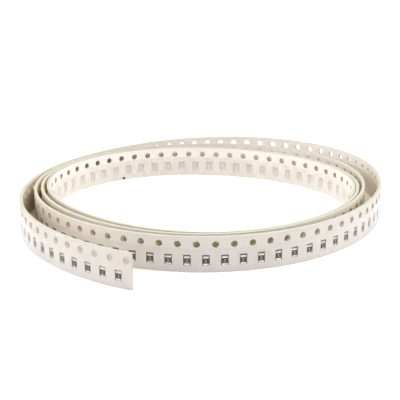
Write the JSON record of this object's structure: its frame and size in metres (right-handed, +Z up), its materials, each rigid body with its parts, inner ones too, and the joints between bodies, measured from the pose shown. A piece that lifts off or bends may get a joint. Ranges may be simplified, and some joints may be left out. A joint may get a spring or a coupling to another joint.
{
  "type": "smd carrier tape coil",
  "caption": "Loose coil of 8 mm punched paper carrier tape standing on its edge, sprocket holes along its upper side and chip resistors sealed in pockets between two clear cover films",
  "frame": {"origin": "on the floor, under the centre of the coil's bounding box", "axes": "+Z up, the height of the tape as it stands; -Y is the side the free outer end lies on, +X its right seen from there"},
  "size_m": [0.0906, 0.1002, 0.008],
  "materials": {
    "tape_paper": "matte",
    "top_film": "gloss",
    "bottom_film": "satin",
    "chip_ceramic": "matte",
    "chip_coat": "gloss",
    "chip_tin": "satin"
  },
  "bodies": {
    "root": {"carrier_tape": "tape_paper", "top_cover_film": "top_film", "bottom_cover_film": "bottom_film", "chip_bodies": "chip_ceramic", "chip_coats": "chip_coat", "chip_caps": "chip_tin"}
  },
  "joints": []
}
